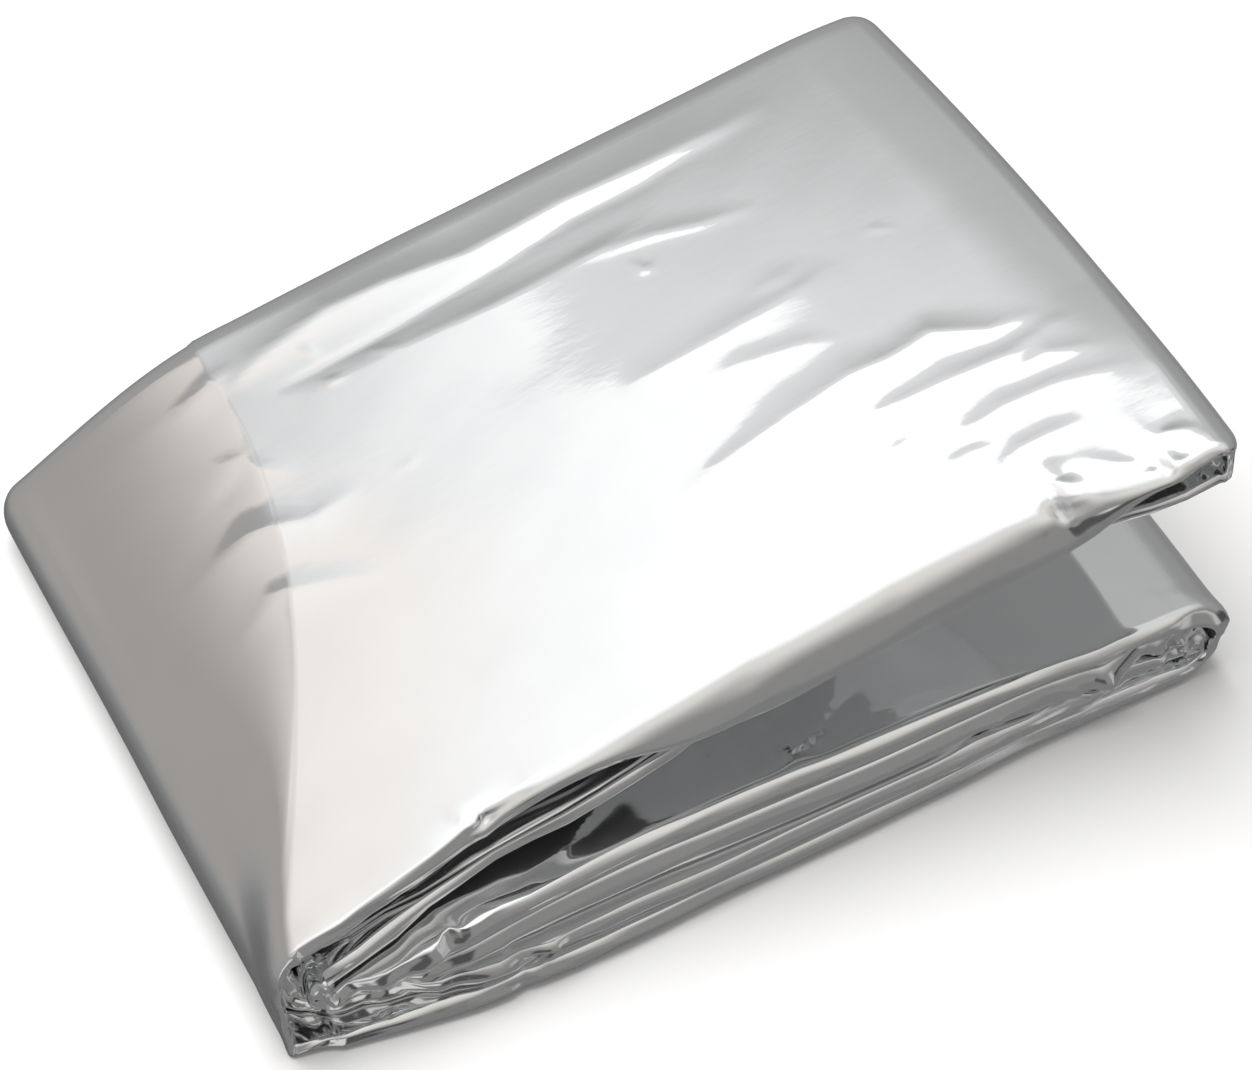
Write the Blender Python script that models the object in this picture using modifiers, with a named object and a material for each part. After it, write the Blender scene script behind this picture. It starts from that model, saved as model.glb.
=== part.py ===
"""Emergency foil blanket, folded into a packet that lies half open like a book.

The blanket is one sheet of metallised film.  Across its width it is folded in three,
with a fold along the front and a roll along the back that closes over the tucked edge.
Along its length it is then folded in four: each leaf of the book turns back on itself
at its right-hand end, and the spine joins the two leaves.  The real packet has many
more layers than this, so each layer here stands for a bundle of film and is as thick.

x runs from the spine to the open end, y from the front to the back and z up.
Sizes are in millimetres until the points are written, and the finished object is in
metres, with its origin on the floor under the middle of its bounding box.
"""

import math

import bmesh
import bpy
import numpy as np

MM = 0.001
LAST_GAP = 1e-9          # keeps a place on the last stretch when it is at its very end

# Driving sizes of the packet
WIDTH = 102.0            # front fold to back roll
LEAF_UPPER = 7.8         # thickness of the lifted leaf
LEAF_LOWER = 13.2        # thickness of the leaf that lies flat
LAYERS = 3               # layers in one pass of the sheet
SHEET_THICKEST = 1.6     # bundle of film in the flat leaf
SHEET_THINNEST = 1.0     # bundle of film in the lifted leaf
SLACK = 0.35             # air between two layers of the lifted leaf

# Top line of the lifted leaf, at the front and at the back edge
TOP_HEIGHT = (17.2, 17.0)      # height above the spine
TOP_SLOPE = (0.203, 0.194)     # rise for each millimetre of x

# The sheet runs round four rollers, like a belt: centre x and radius, front and back
ROLLERS = {
    #              x front  x back  radius front  radius back
    "upper end": (127.2, 131.0, LEAF_UPPER / 2, LEAF_UPPER / 2),
    "crest": (1.5, 31.5, 4.5, 12.0),
    "nose": (3.6, 2.2, 7.0, 4.4),
    "lower end": (126.0, 128.4, LEAF_LOWER / 2, LEAF_LOWER / 2),
}
CREST_STRAIGHT = 84.0    # y behind which the crest runs straight along the leaf
CREST_START = 4.0        # the crest leaves the front corner in a curve of this reach
CREST_TURNED = 0.25      # share of the spine's run at which the sheet has left the crest
NOSE_REACHED = 0.5       # share of the spine's run at which it meets the nose

# The two cut ends of the sheet stop short of the spine: x at the front and at the back
UNDERSIDE_END = (25.0, 34.0)
LOWER_TOP_END = (5.0, 25.0)

# Runs of the belt, in order along the sheet, and how many steps each is drawn with
RUNS = (
    ("upper underside", 11),
    ("upper end", 7),
    ("upper top", 13),
    ("spine", 14),
    ("floor", 9),
    ("lower end", 7),
    ("lower top", 11),
)

# Stretches across one pass of the sheet, and the steps of each
SECTION = (
    ("tucked layer", 8),
    ("front fold", 6),
    ("skin", 8),
    ("back roll", 6),
    ("inner layer", 8),
)

# Where the long edges lie along the sheet, as y from the packet's front, and how much
# film a layer holds there.  Whole numbers of run are the joints between two runs.
FOLD, LOOSE, BACK, BULK = 1, 2, 3, 4
EDGES = np.array([
    # run  fold  loose edge  back   bulk
    (0.0, 3.4, 5.0, -2.0, 0.0),      # cut end under the lifted leaf
    (0.5, 3.4, 4.6, -1.5, 0.0),
    (1.0, 3.6, 4.8, -1.0, 0.0),      # right end of the lifted leaf
    (1.5, 2.0, 3.6, 0.2, 0.0),
    (2.0, 0.0, 2.5, 0.8, 0.0),
    (2.4, 1.0, 2.6, 0.4, 0.0),
    (2.7, 2.6, 3.6, 0.3, 0.0),
    (2.9, 0.4, 2.0, 0.3, 0.05),
    (3.0, -0.2, 1.4, 0.0, 0.1),      # crest
    (3.5, -1.0, 0.2, -0.8, 0.1),
    (4.0, -3.6, -2.2, -1.4, 0.1),    # nose, on the floor
    (4.2, -6.1, -4.6, -1.0, 1.0),
    (4.6, -4.1, -3.2, -0.5, 1.0),
    (5.0, -0.4, 0.4, -1.0, 1.0),     # right end of the flat leaf
    (5.5, -0.2, 0.8, -0.8, 1.0),
    (6.0, 0.1, 1.3, -0.5, 1.0),
    (6.4, 0.7, -0.5, 0.0, 1.0),
    (6.7, -1.2, -1.3, 0.0, 1.0),
    (7.0, -4.0, -2.9, -1.0, 1.0),    # cut end on the flat leaf
])

# Soft swells of the sheet: a ridge from one point to another, its half width and height.
# They lift the top of a leaf and bag the underside of the lifted one.
SWELLS = (
    # run              x1     y1     x2     y2    half width  height
    ("upper top", 34.0, 92.0, 122.0, 92.0, 7.0, 1.0),
    ("upper top", 30.0, 60.0, 70.0, 64.0, 16.0, 1.1),
    ("upper top", 70.0, 22.0, 112.0, 20.0, 13.0, 0.9),
    ("upper top", 100.0, 60.0, 124.0, 48.0, 14.0, 0.8),
    ("upper underside", 60.0, 30.0, 110.0, 34.0, 24.0, -1.2),
    ("upper underside", 70.0, 78.0, 100.0, 74.0, 14.0, -0.8),
    ("lower top", 50.0, 24.0, 84.0, 20.0, 16.0, 0.8),
    ("lower top", 88.0, 66.0, 112.0, 60.0, 18.0, 0.9),
)
SWELL_FADE = 0.2         # share of a run over which swells fade in from its ends
DROOP = 0.8              # the lifted leaf sinks this much at its front and back edges
DROOP_REACH = 14.0       # width of leaf that sinks
DROOP_FROM = 35.0        # x where it begins to sink
DROOP_FULL = 80.0        # x where it sinks in full

FILM = {"name": "metallised film", "colour": (0.60, 0.61, 0.62, 1.0), "roughness": 0.14}


def ease(value):
    """Go from 0 to 1 with soft ends as value goes from 0 to 1."""
    value = np.clip(value, 0.0, 1.0)
    return value * value * (3.0 - 2.0 * value)


def across(pair, y):
    """Read a size that changes evenly from the front edge to the back edge."""
    return pair[0] + (pair[1] - pair[0]) * np.clip(y / WIDTH, 0.0, 1.0)


def along(column, run):
    """Read one column of EDGES at a run, on a smooth curve through its rows.

    Bulk comes to rest at each row, so that it stays level between two equal rows.
    """
    knots = EDGES[:, 0]
    values = EDGES[:, column]
    slopes = 0.0 * knots if column == BULK else np.gradient(values, knots)
    row = np.clip(np.searchsorted(knots, run, side="right") - 1, 0, len(knots) - 2)
    span = knots[row + 1] - knots[row]
    t = (run - knots[row]) / span
    start = (1.0 + 2.0 * t) * (1.0 - t) ** 2 * values[row]
    start += t * (1.0 - t) ** 2 * span * slopes[row]
    end = t * t * (3.0 - 2.0 * t) * values[row + 1]
    end += t * t * (t - 1.0) * span * slopes[row + 1]
    return start + end


def sheet_thickness(run):
    """Thickness of one layer at a run of the sheet."""
    return SHEET_THINNEST + (SHEET_THICKEST - SHEET_THINNEST) * along(BULK, run)


def layer_pitch(run):
    """Distance from one layer to the next, so that two passes fill a leaf."""
    upper = SHEET_THINNEST + SLACK
    lower = ((LEAF_LOWER - SLACK) / 2.0 - SHEET_THICKEST) / (LAYERS - 1)
    return upper + (lower - upper) * along(BULK, run)


def roller(name, y):
    """Centre and radius of one roller at y."""
    x_front, x_back, radius_front, radius_back = ROLLERS[name]
    if name == "crest":
        in_curve = np.hypot(np.maximum(y, 0.0), CREST_START) - CREST_START
        share = np.sin(0.5 * math.pi * np.clip(in_curve / CREST_STRAIGHT, 0.0, 1.0))
    else:
        share = np.clip(y / WIDTH, 0.0, 1.0)
    x = x_front + (x_back - x_front) * share
    radius = radius_front + (radius_back - radius_front) * share
    slope = across(TOP_SLOPE, y)
    under_top_line = across(TOP_HEIGHT, y) + slope * x - radius * np.sqrt(1.0 + slope ** 2)
    z = under_top_line if name in ("upper end", "crest") else radius
    return x, z, radius


def belt_angle(first, second):
    """Heading of the belt from one roller to the next, with both rollers on its left."""
    dx = second[0] - first[0]
    dz = second[1] - first[1]
    turn = np.arcsin((first[2] - second[2]) / np.hypot(dx, dz))
    return np.arctan2(dz, dx) % (2.0 * math.pi) + turn


def on_roller(centre, heading):
    """Point where the belt leaves a roller at a heading, and the way in from it."""
    x, z, radius = centre
    inward = (-np.sin(heading), np.cos(heading))
    return x - radius * inward[0], z - radius * inward[1], inward[0], inward[1]


def mixed(first, second, share):
    """Mix two skin points, each given as x, z and the way in."""
    return [a + (b - a) * share for a, b in zip(first, second)]


def skin(run, y):
    """Outer skin of the packet at a run of the sheet: x, z and the way in."""
    upper_end = roller("upper end", y)
    crest = roller("crest", y)
    nose = roller("nose", y)
    lower_end = roller("lower end", y)

    top = math.pi + np.arctan(across(TOP_SLOPE, y))
    slope = belt_angle(crest, nose)
    floor = 2.0 * math.pi + 0.0 * y
    back_again = floor + math.pi

    end_below = on_roller(upper_end, top - math.pi)
    end_above = on_roller(upper_end, top)
    cut_x = across(UNDERSIDE_END, y)
    cut_below = (cut_x, end_below[1] - (end_below[0] - cut_x) * across(TOP_SLOPE, y))
    low_above = on_roller(lower_end, back_again)
    low_cut = (across(LOWER_TOP_END, y), low_above[1])

    share = run - np.floor(run)
    crest_share = np.clip(share / CREST_TURNED, 0.0, 1.0)
    slope_share = np.clip((share - CREST_TURNED) / (NOSE_REACHED - CREST_TURNED), 0.0, 1.0)
    nose_share = np.clip((share - NOSE_REACHED) / (1.0 - NOSE_REACHED), 0.0, 1.0)
    over_crest = on_roller(crest, top + (slope - top) * crest_share)
    round_nose = on_roller(nose, slope + (floor - slope) * nose_share)
    stretches = (
        mixed(cut_below + end_below[2:], end_below, share),
        on_roller(upper_end, top - math.pi + math.pi * share),
        mixed(end_above, on_roller(crest, top), share),
        mixed(over_crest, round_nose, slope_share),
        mixed(on_roller(nose, floor), on_roller(lower_end, floor), share),
        on_roller(lower_end, floor + math.pi * share),
        mixed(low_above, low_cut + low_above[2:], share),
    )
    step = np.clip(np.floor(run), 0, len(RUNS) - 1)
    return [np.select([step == k for k in range(len(RUNS))], [s[part] for s in stretches])
            for part in range(4)]


def section(place, run):
    """Where a place across the sheet lies: y, and the distance in from the skin."""
    pitch = layer_pitch(run)
    back = WIDTH + along(BACK, run) - sheet_thickness(run) / 2.0
    fold = along(FOLD, run) + (pitch + sheet_thickness(run)) / 2.0
    loose = along(LOOSE, run)
    roll_centre = back - pitch
    tucked = roll_centre - SLACK - sheet_thickness(run) / 2.0

    share = place - np.floor(place)
    fold_turn = math.pi * share
    stretches = (
        (tucked + (fold - tucked) * share, pitch),
        (fold - pitch / 2.0 * np.sin(fold_turn), pitch / 2.0 * (1.0 + np.cos(fold_turn))),
        (fold + (roll_centre - fold) * share, 0.0 * pitch),
        (roll_centre + pitch * np.sin(fold_turn), pitch * (1.0 - np.cos(fold_turn))),
        (roll_centre + (loose - roll_centre) * share, 2.0 * pitch),
    )
    step = np.clip(np.floor(place), 0, len(SECTION) - 1)
    return [np.select([step == k for k in range(len(SECTION))], [s[part] for s in stretches])
            for part in range(2)]


def swell(run, x, y):
    """Height that the soft swells and the sinking edges add at a point of the sheet."""
    lift = 0.0 * x
    for name, x1, y1, x2, y2, half_width, height in SWELLS:
        number = [entry[0] for entry in RUNS].index(name)
        nearest = np.clip(((x - x1) * (x2 - x1) + (y - y1) * (y2 - y1))
                          / ((x2 - x1) ** 2 + (y2 - y1) ** 2), 0.0, 1.0)
        distance = np.hypot(x - x1 - nearest * (x2 - x1), y - y1 - nearest * (y2 - y1))
        on_run = ease((run - number) / SWELL_FADE) * ease((number + 1 - run) / SWELL_FADE)
        lift += height * on_run * (1.0 - ease(distance / half_width))

    in_leaf = (run < 3.0) * ease((x - DROOP_FROM) / (DROOP_FULL - DROOP_FROM))
    to_edge = np.minimum(y, WIDTH - y)
    lift -= DROOP * in_leaf * (1.0 - ease(to_edge / DROOP_REACH)) ** 2
    return lift


def sample_places(stretches, flat_share):
    """Map a flat share of the sheet, 0 to 1, to a place along its stretches."""
    steps = np.array([count for _, count in stretches])
    joints = np.concatenate([[0], np.cumsum(steps)])
    return np.interp(flat_share * joints[-1], joints, np.arange(len(joints)))


def folded_place(flat_x, flat_y):
    """Carry points of the flat sheet, given as shares of its sides, into the packet."""
    run = np.minimum(sample_places(RUNS, flat_x), len(RUNS) - LAST_GAP)
    place = np.minimum(sample_places(SECTION, flat_y), len(SECTION) - LAST_GAP)
    y, inset = section(place, run)
    x, z, in_x, in_z = skin(run, y)
    inset = inset + sheet_thickness(run) / 2.0
    x = x + in_x * inset
    z = z + in_z * inset
    z = z + swell(run, x, y)
    return x, y, z


def film_material():
    """Bright metallised film."""
    material = bpy.data.materials.new(FILM["name"])
    material.use_nodes = True
    shader = material.node_tree.nodes["Principled BSDF"]
    shader.inputs["Base Color"].default_value = FILM["colour"]
    shader.inputs["Metallic"].default_value = 1.0
    shader.inputs["Roughness"].default_value = FILM["roughness"]
    return material


def fold_blanket(name):
    """Make the flat sheet as a grid, fold it, and give it its thickness."""
    rows = sum(count for _, count in RUNS)
    columns = sum(count for _, count in SECTION)
    sheet = bmesh.new()
    bmesh.ops.create_grid(sheet, x_segments=rows, y_segments=columns, size=0.5)
    sheet.verts.ensure_lookup_table()
    flat = np.array([vert.co[:2] for vert in sheet.verts]) + 0.5
    flat = np.round(flat * (rows, columns)) / (rows, columns)

    x, y, z = folded_place(flat[:, 0], flat[:, 1])
    middle_x = (x.min() + x.max()) / 2.0
    middle_y = (y.min() + y.max()) / 2.0
    for vert, px, py, pz in zip(sheet.verts, x - middle_x, y - middle_y, z):
        vert.co = (px * MM, py * MM, pz * MM)

    mesh = bpy.data.meshes.new(name)
    sheet.to_mesh(mesh)
    sheet.free()
    mesh.shade_smooth()
    blanket = bpy.data.objects.new(name, mesh)

    bulk = blanket.vertex_groups.new(name="bulk")
    share = sheet_thickness(sample_places(RUNS, flat[:, 0])) / SHEET_THICKEST
    for index, weight in enumerate(share):
        bulk.add([index], float(np.clip(weight, 0.0, 1.0)), "REPLACE")
    solidify = blanket.modifiers.new("film bundle", "SOLIDIFY")
    solidify.thickness = SHEET_THICKEST * MM
    solidify.offset = 0.0
    solidify.vertex_group = bulk.name
    return blanket


for old in list(bpy.data.objects):
    bpy.data.objects.remove(old, do_unlink=True)

packet = bpy.data.collections.new("emergency foil blanket")
bpy.context.scene.collection.children.link(packet)
foil_blanket = fold_blanket("foil_blanket")
foil_blanket.data.materials.append(film_material())
packet.objects.link(foil_blanket)
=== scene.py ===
import math

import bpy
import numpy as np
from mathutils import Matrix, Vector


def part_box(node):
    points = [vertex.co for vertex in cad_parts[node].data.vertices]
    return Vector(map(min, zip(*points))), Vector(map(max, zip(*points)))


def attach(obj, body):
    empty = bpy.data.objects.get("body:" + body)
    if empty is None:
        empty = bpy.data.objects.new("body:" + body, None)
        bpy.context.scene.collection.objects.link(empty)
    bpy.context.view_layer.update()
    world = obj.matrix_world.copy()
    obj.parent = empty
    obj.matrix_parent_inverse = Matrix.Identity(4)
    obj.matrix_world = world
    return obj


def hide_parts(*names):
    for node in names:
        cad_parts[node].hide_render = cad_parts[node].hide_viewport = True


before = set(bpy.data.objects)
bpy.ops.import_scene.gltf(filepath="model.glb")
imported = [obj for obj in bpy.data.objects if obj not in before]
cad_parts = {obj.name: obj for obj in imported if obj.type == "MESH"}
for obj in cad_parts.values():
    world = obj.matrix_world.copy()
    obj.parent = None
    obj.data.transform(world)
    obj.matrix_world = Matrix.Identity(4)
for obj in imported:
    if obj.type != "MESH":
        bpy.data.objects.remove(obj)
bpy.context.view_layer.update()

# ------------------------------------------------------------------------------------
# The blanket.  One sheet of polyester film, 12 thousandths of a millimetre thick and
# coated with aluminium vapour.  It is folded across its width, then along its length,
# into a packet that lies half open like a book, with the spine at its left.
# ------------------------------------------------------------------------------------
MM = 0.001
TINY = 1e-9                # keeps the very last place on its stretch, and a sign from 0
FAR = 1e9                  # further than any two points of the packet, also when squared

# Driving sizes of the packet in millimetres: x from the spine, y from the front
WIDTH = 102.0
LEAF_UPPER = 7.8
LEAF_LOWER = 13.2
SPINE_BULGE = 3.4          # the spine stands out this far past x = 0
FRONT_BULGE = 6.24         # the lowest fold stands out this far past y = 0
END_BOW = 1.6              # both right-hand ends stand out this much halfway back
TOP_HEIGHT = (17.2, 17.0)  # the lifted leaf's top at x = 0, front and back
TOP_SLOPE = (0.203, 0.194) # and how much it rises for each millimetre of x

# The packet's outside is a belt round four rollers, which lie along y.  The crest bends
# away from the front edge: it starts out straight and is at its full x this far back.
ROLLERS = {
    #              x front  x back  radius front  radius back
    "upper end": (127.9, 132.0, LEAF_UPPER / 2, LEAF_UPPER / 2),
    "crest": (1.5, 30.3, 4.5, 9.5),
    "nose": (3.6, 2.2, 7.0, 4.4),
    "lower end": (127.6, 129.8, LEAF_LOWER / 2, LEAF_LOWER / 2),
}
CREST_REACH = 84.0
CREST_START = 4.0          # radius of its first bend
CREST_TURNED = 0.25        # share of the spine's run that goes round the crest
NOSE_REACHED = 0.5         # and the share where the belt is down at the nose
SLOPE_SHARE = 0.6          # the slope bulges below the crest: it takes over this share of
SLOPE_MOST = 0.48          # the crest's turn, up to this angle, and the bulge dies away
SLOPE_FADE = 1.5           # towards the nose with this power
GAP_END = (3.5, 16.0)      # x where the gap between the leaves ends in a tight turn
LEAVES_APART = 0.6         # where the leaves close on each other, they stay this far apart
CLOSING = 2.5              # the flat leaf bends down over about this much height there

# Runs along the sheet, once round the packet: 0 is the turn above the gap's inner end,
# 1 the lifted leaf's underside, 2 its end, 3 its top, 4 the spine, 5 the floor, 6 the
# flat leaf's end, 7 its top, and 8 the turn below the gap's inner end.
ROW_STEPS = (
    # from this place in the runs on, this many rows up to the next one
    (0.0, 8), (1.0, 26), (2.0, 20), (3.0, 36), (3.2, 106), (4.0, 44), (4.6, 22), (5.0, 42),
    (5.35, 12), (5.7, 28), (6.0, 20), (7.0, 30), (7.25, 34), (7.7, 38), (8.0, 8), (9.0, 0),
)

# Stretches across the sheet, from the tucked edge to the loose one, and their steps
SECTION = {
    "fourth layer": 6,
    "second fold": 12,
    "third layer": 5,
    "inner back fold": 4,
    "second layer": 5,
    "second layer by the fold": 6,
    "first fold": 24,
    "skin by the fold": 16,
    "skin": 100,
    "skin by the roll": 14,
    "back roll": 14,
    "fifth layer": 4,
}
SKIN_FRONT = 9.0           # y where the skin's stretch by the fold ends
SKIN_LEAST = 0.5           # and its least width
SKIN_BACK = 14.0           # width of its stretch by the roll
TEAR = 5.0                 # width over which the first fold narrows to its layer's depth
TUCKED = 1.6               # the tucked edge ends this far inside the back roll
INNER_FOLD = 0.8           # and the inner back fold this much further in

# Depth of each fold's two layers under the skin, for the lifted and the flat leaf
DEPTHS = {
    #               lifted  flat
    "first fold": (3.0, 3.1),
    "fourth layer": (3.62, 6.45),
    "fifth layer": (3.8, 6.55),
}
ROLL_CROWN = (3.6, 5.4)    # how far back the skin begins to roll over at the back
SECOND_CROWN = 1.6         # the same at the second fold
SECOND_SPLIT = 0.62        # and the share of its depth at its foremost point
LAYER_GAP = 0.16           # air between two layers
FACE_RANGE = (3.0, 7.0)    # depth of a thin first fold and of a deep one, and the share
FACE_SPLIT = (0.55, 0.75)  # of that depth at its foremost point
FLUTE = 0.09               # depth of the flutes along a fold
FLUTES = 5.0               # half waves of them round a fold
FLUTE_WANDER = (
    # how far the flutes turn round the fold, how fast along the sheet, and from where
    (2.0, 9.0, 0.0),
    (1.5, 23.0, 1.0),
)
SECOND_WANDER = 2.0        # turn of the second fold's flutes from those of the first

# Where the folds and edges lie along the sheet: y of their foremost or last point, how
# much film a layer holds there, and the first fold's own shape: how deep it hangs, how
# far back it begins to roll, and how far it is squeezed open into a slit
FIRST, SECOND, LOOSE, BACK, BULK, FACE, CROWN, SLIT = range(1, 9)
EDGES = np.array([
    # run  first second loose  back  bulk face crown slit
    (0.00, -1.8, 2.8, 3.6, -1.5, 0.3, 2.4, 2.0, 0.0),
    (0.50, -1.6, 2.8, 3.6, -1.7, 0.1, 2.4, 2.0, 0.0),
    (1.00, -1.4, 2.2, 3.0, -2.0, 0.0, 2.6, 2.2, 0.0),
    (1.10, 0.6, 2.2, 3.0, -1.9, 0.0, 3.0, 2.2, 0.1),
    (1.18, 2.4, 2.9, 3.8, -1.8, 0.0, 3.0, 2.2, 0.2),
    (1.30, 2.8, 3.3, 4.2, -1.7, 0.0, 3.0, 2.2, 0.2),
    (1.38, 3.8, 4.4, 5.2, -1.6, 0.0, 3.0, 2.4, 0.2),
    (1.48, 6.2, 6.8, 7.6, -1.5, 0.0, 2.8, 2.4, 0.2),
    (1.60, 7.6, 8.2, 9.0, -1.3, 0.0, 2.6, 2.4, 0.1),
    (1.82, 7.2, 8.3, 9.2, -1.0, 0.0, 2.6, 2.4, 0.0),
    (1.88, 3.4, 8.0, 10.0, -1.0, 0.0, 2.6, 2.4, 0.1),
    (1.93, 1.8, 8.6, 10.4, -1.0, 0.0, 2.6, 2.4, 0.2),
    (2.00, 1.0, 9.0, 11.0, -1.0, 0.0, 2.6, 2.4, 0.3),
    (2.50, 2.4, 10.0, 12.0, 0.0, 0.0, 2.6, 2.4, 0.3),
    (3.00, 0.2, 9.6, 11.0, 0.4, 0.0, 2.2, 2.0, 0.2),
    (3.06, 0.4, 9.4, 10.8, 0.6, 0.0, 2.0, 2.4, 0.1),
    (3.10, 0.8, 9.2, 10.6, 0.7, 0.0, 3.2, 3.6, 0.0),
    (3.14, 1.3, 9.2, 10.6, 0.7, 0.0, 5.8, 5.0, 0.0),
    (3.23, 2.0, 9.2, 10.4, 0.6, 0.0, 7.0, 5.8, 0.0),
    (3.42, 2.3, 9.0, 10.2, 0.5, 0.0, 7.0, 6.2, 0.0),
    (3.52, 2.4, 9.0, 10.0, 0.4, 0.0, 6.8, 5.8, 0.0),
    (3.60, 2.9, 8.6, 9.6, 0.3, 0.0, 5.4, 5.0, 0.0),
    (3.655, 3.7, 8.2, 9.2, 0.3, 0.0, 3.2, 3.8, 0.0),
    (3.70, 4.0, 8.0, 9.0, 0.3, 0.0, 2.3, 3.0, 0.0),
    (3.78, 3.8, 7.6, 8.6, 0.2, 0.0, 2.6, 2.2, 0.0),
    (3.84, 2.8, 6.6, 7.6, 0.1, 0.0, 2.8, 1.2, 0.0),
    (3.90, 1.5, 5.0, 6.0, 0.0, 0.05, 2.7, 1.0, 0.0),
    (3.94, 0.8, 4.0, 5.0, -0.1, 0.06, 2.6, 0.7, 0.0),
    (3.97, 0.2, 2.6, 3.6, -0.1, 0.08, 2.6, 0.6, 0.0),
    (4.00, -0.2, 2.2, 3.2, -0.2, 0.1, 2.4, 0.8, 0.0),
    (4.20, -0.6, 3.0, 4.0, -0.4, 0.2, 1.8, 1.4, 0.0),
    (4.50, -1.2, 3.4, 4.4, -1.3, 0.3, 1.6, 1.4, 0.0),
    (4.80, -2.0, 2.6, 3.6, -2.0, 0.3, 1.6, 1.4, 0.0),
    (5.00, -3.2, 0.0, 1.0, -2.2, 0.3, 2.0, 1.6, 0.0),
    (5.07, -4.6, -2.8, -2.0, -1.5, 0.7, 2.8, 2.2, 0.0),
    (5.14, -5.7, -4.9, -4.1, -1.0, 1.0, 3.1, 2.6, 0.0),
    (5.23, -5.7, -5.0, -4.2, -0.9, 1.0, 3.1, 2.7, 0.0),
    (5.32, -5.1, -4.1, -3.3, -0.8, 1.0, 3.1, 2.7, 0.0),
    (5.41, -4.2, -3.9, -3.1, -0.7, 1.0, 3.1, 2.7, 0.0),
    (5.51, -3.6, -3.0, -2.2, -0.7, 1.0, 3.1, 2.7, 0.0),
    (5.61, -2.8, -2.3, -1.5, -0.6, 1.0, 3.1, 2.7, 0.0),
    (5.71, -1.8, -1.8, -1.0, -0.7, 1.0, 3.1, 2.7, 0.0),
    (5.80, -0.7, -0.9, -0.1, -0.8, 1.0, 3.1, 2.6, 0.0),
    (5.90, -0.3, 0.2, 1.0, -0.9, 1.0, 3.1, 2.5, 0.0),
    (6.00, 0.2, 1.6, 2.8, -1.0, 1.0, 3.1, 2.4, 0.1),
    (6.50, 1.0, 3.4, 4.8, -0.8, 1.0, 3.1, 2.4, 0.2),
    (7.00, 0.2, 2.2, 3.4, -0.5, 1.0, 3.1, 2.4, 0.1),
    (7.10, 0.2, -0.1, 0.9, -0.4, 1.0, 2.1, 2.4, 0.0),
    (7.20, 0.3, -0.5, 0.5, -0.2, 1.0, 2.1, 2.6, 0.0),
    (7.29, 0.1, -1.0, 0.0, -0.1, 1.0, 2.3, 2.6, 0.0),
    (7.39, -0.4, -1.7, -0.7, 0.0, 1.0, 2.4, 2.6, 0.0),
    (7.49, -0.5, -1.9, -0.9, 0.0, 1.0, 2.4, 2.6, 0.0),
    (7.59, -0.8, -2.1, -1.1, 0.0, 1.0, 2.4, 2.6, 0.0),
    (7.68, -1.2, -2.4, -1.4, -0.2, 1.0, 2.3, 1.9, 0.0),
    (7.77, -2.3, -2.9, -1.9, -0.5, 0.95, 2.5, 1.2, 0.0),
    (7.86, -3.2, -3.5, -2.5, -0.7, 0.8, 2.8, 0.8, 0.0),
    (7.94, -3.2, -2.0, -1.2, -0.8, 0.6, 3.0, 0.9, 0.0),
    (8.00, -2.6, 0.6, 1.4, -1.0, 0.5, 2.6, 1.2, 0.0),
    (8.50, -2.0, 2.4, 3.2, -1.2, 0.4, 2.4, 2.0, 0.0),
    (9.00, -1.8, 2.8, 3.6, -1.5, 0.3, 2.4, 2.0, 0.0),
])


def ease(value):
    """Go from 0 to 1 with soft ends as value goes from 0 to 1."""
    value = np.clip(value, 0.0, 1.0)
    return value * value * (3.0 - 2.0 * value)


def across(pair, y):
    """Read a size that changes evenly from the front edge to the back edge."""
    return pair[0] + (pair[1] - pair[0]) * np.clip(y / WIDTH, 0.0, 1.0)


def along(column, run):
    """Read one column of EDGES at a run, on a smooth curve through its rows.

    BULK doesn't overshoot: it is level at each row.
    """
    knots = EDGES[:, 0]
    values = EDGES[:, column]
    slopes = 0.0 * knots if column == BULK else np.gradient(values, knots)
    row = np.clip(np.searchsorted(knots, run, side="right") - 1, 0, len(knots) - 2)
    span = knots[row + 1] - knots[row]
    t = (run - knots[row]) / span
    start = (1.0 + 2.0 * t) * (1.0 - t) ** 2 * values[row]
    start += t * (1.0 - t) ** 2 * span * slopes[row]
    end = t * t * (3.0 - 2.0 * t) * values[row + 1]
    end += t * t * (t - 1.0) * span * slopes[row + 1]
    return start + end


def roller(name, y):
    """Centre and radius of one roller at y."""
    x_front, x_back, radius_front, radius_back = ROLLERS[name]
    share = np.clip(y / WIDTH, 0.0, 1.0)
    bow = END_BOW * 4.0 * share * (1.0 - share) if name.endswith("end") else 0.0
    if name == "crest":
        in_curve = np.hypot(np.maximum(y, 0.0), CREST_START) - CREST_START
        share = np.sin(0.5 * math.pi * np.clip(in_curve / CREST_REACH, 0.0, 1.0))
    x = x_front + (x_back - x_front) * share + bow
    radius = radius_front + (radius_back - radius_front) * share
    slope = across(TOP_SLOPE, y)
    under_top_line = across(TOP_HEIGHT, y) + slope * x - radius * np.sqrt(1.0 + slope ** 2)
    z = under_top_line if name in ("upper end", "crest") else radius
    return x, z, radius


def belt_angle(first, second):
    """Heading of the belt from one roller to the next, with both rollers on its left."""
    dx = second[0] - first[0]
    dz = second[1] - first[1]
    turn = np.arcsin((first[2] - second[2]) / np.hypot(dx, dz))
    return np.arctan2(dz, dx) % (2.0 * math.pi) + turn


def on_roller(centre, heading):
    """Point where the belt leaves a roller at a heading, and the way in from it."""
    x, z, radius = centre
    inward = (-np.sin(heading), np.cos(heading))
    return x - radius * inward[0], z - radius * inward[1], inward[0], inward[1]


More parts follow.
